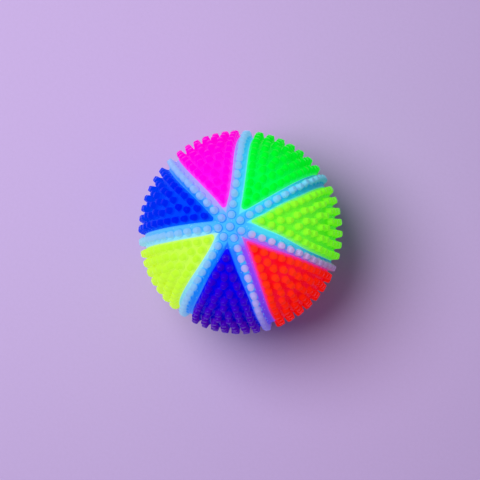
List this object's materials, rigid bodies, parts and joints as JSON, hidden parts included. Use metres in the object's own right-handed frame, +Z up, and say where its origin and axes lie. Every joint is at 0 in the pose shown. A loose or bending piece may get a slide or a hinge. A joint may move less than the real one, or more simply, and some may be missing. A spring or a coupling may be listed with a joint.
{
  "type": "sensory ball",
  "caption": "Soft nubby ball of see-through rubber: straps of nubs from pole to pole between coloured nubbed petals, with a shake-switched light capsule inside.",
  "frame": {"origin": "on the ground under the middle of the ball, which stands on its lowest nubs", "axes": "+Z up through the two poles where the straps meet, +X over one strap"},
  "size_m": [0.0749, 0.0748, 0.0745],
  "materials": {
    "base_rubber": "satin",
    "petal_lime": "satin",
    "petal_green": "satin",
    "petal_magenta": "satin",
    "petal_blue": "satin",
    "petal_yellow": "satin",
    "petal_purple": "satin",
    "petal_red": "satin",
    "capsule_plastic": "gloss",
    "lid_plastic": "gloss",
    "board": "satin",
    "chip_resin": "gloss",
    "lamp_red": "gloss",
    "lamp_green": "gloss",
    "lamp_blue": "gloss",
    "legs": "satin",
    "sleeve_plastic": "satin",
    "cell_can": "satin",
    "contact_brass": "satin",
    "spring_wire": "satin"
  },
  "bodies": {
    "ball": {"shell_upper": "base_rubber", "shell_lower": "base_rubber", "petal_upper_lime": "petal_lime", "petal_upper_green": "petal_green", "petal_upper_magenta": "petal_magenta", "petal_upper_blue": "petal_blue", "petal_upper_yellow": "petal_yellow", "petal_upper_purple": "petal_purple", "petal_upper_red": "petal_red", "petal_lower_lime": "petal_lime", "petal_lower_green": "petal_green", "petal_lower_magenta": "petal_magenta", "petal_lower_blue": "petal_blue", "petal_lower_yellow": "petal_yellow", "petal_lower_purple": "petal_purple", "petal_lower_red": "petal_red", "capsule_base": "capsule_plastic", "capsule_lid": "lid_plastic", "circuit_board": "board", "chip_blob": "chip_resin", "led_red": "lamp_red", "led_green": "lamp_green", "led_blue": "lamp_blue", "led_legs_red": "legs", "led_legs_green": "legs", "led_legs_blue": "legs", "cell_sleeve": "sleeve_plastic", "cell_bottom": "cell_can", "cell_middle": "cell_can", "cell_top": "cell_can", "contact_negative": "contact_brass", "contact_positive": "contact_brass", "shake_block": "contact_brass", "shake_pin": "contact_brass"},
    "switch_spring": {"shake_spring": "spring_wire"}
  },
  "joints": [
    {"name": "shake_spring_sway", "type": "hinge", "parent": "ball", "child": "switch_spring", "pos_m": [-0.0065, 0.00468, 0.02619], "axis": [0, 1, 0], "range_deg": [-4, 4], "stiffness_Nm_per_rad": 0.0002}
  ]
}
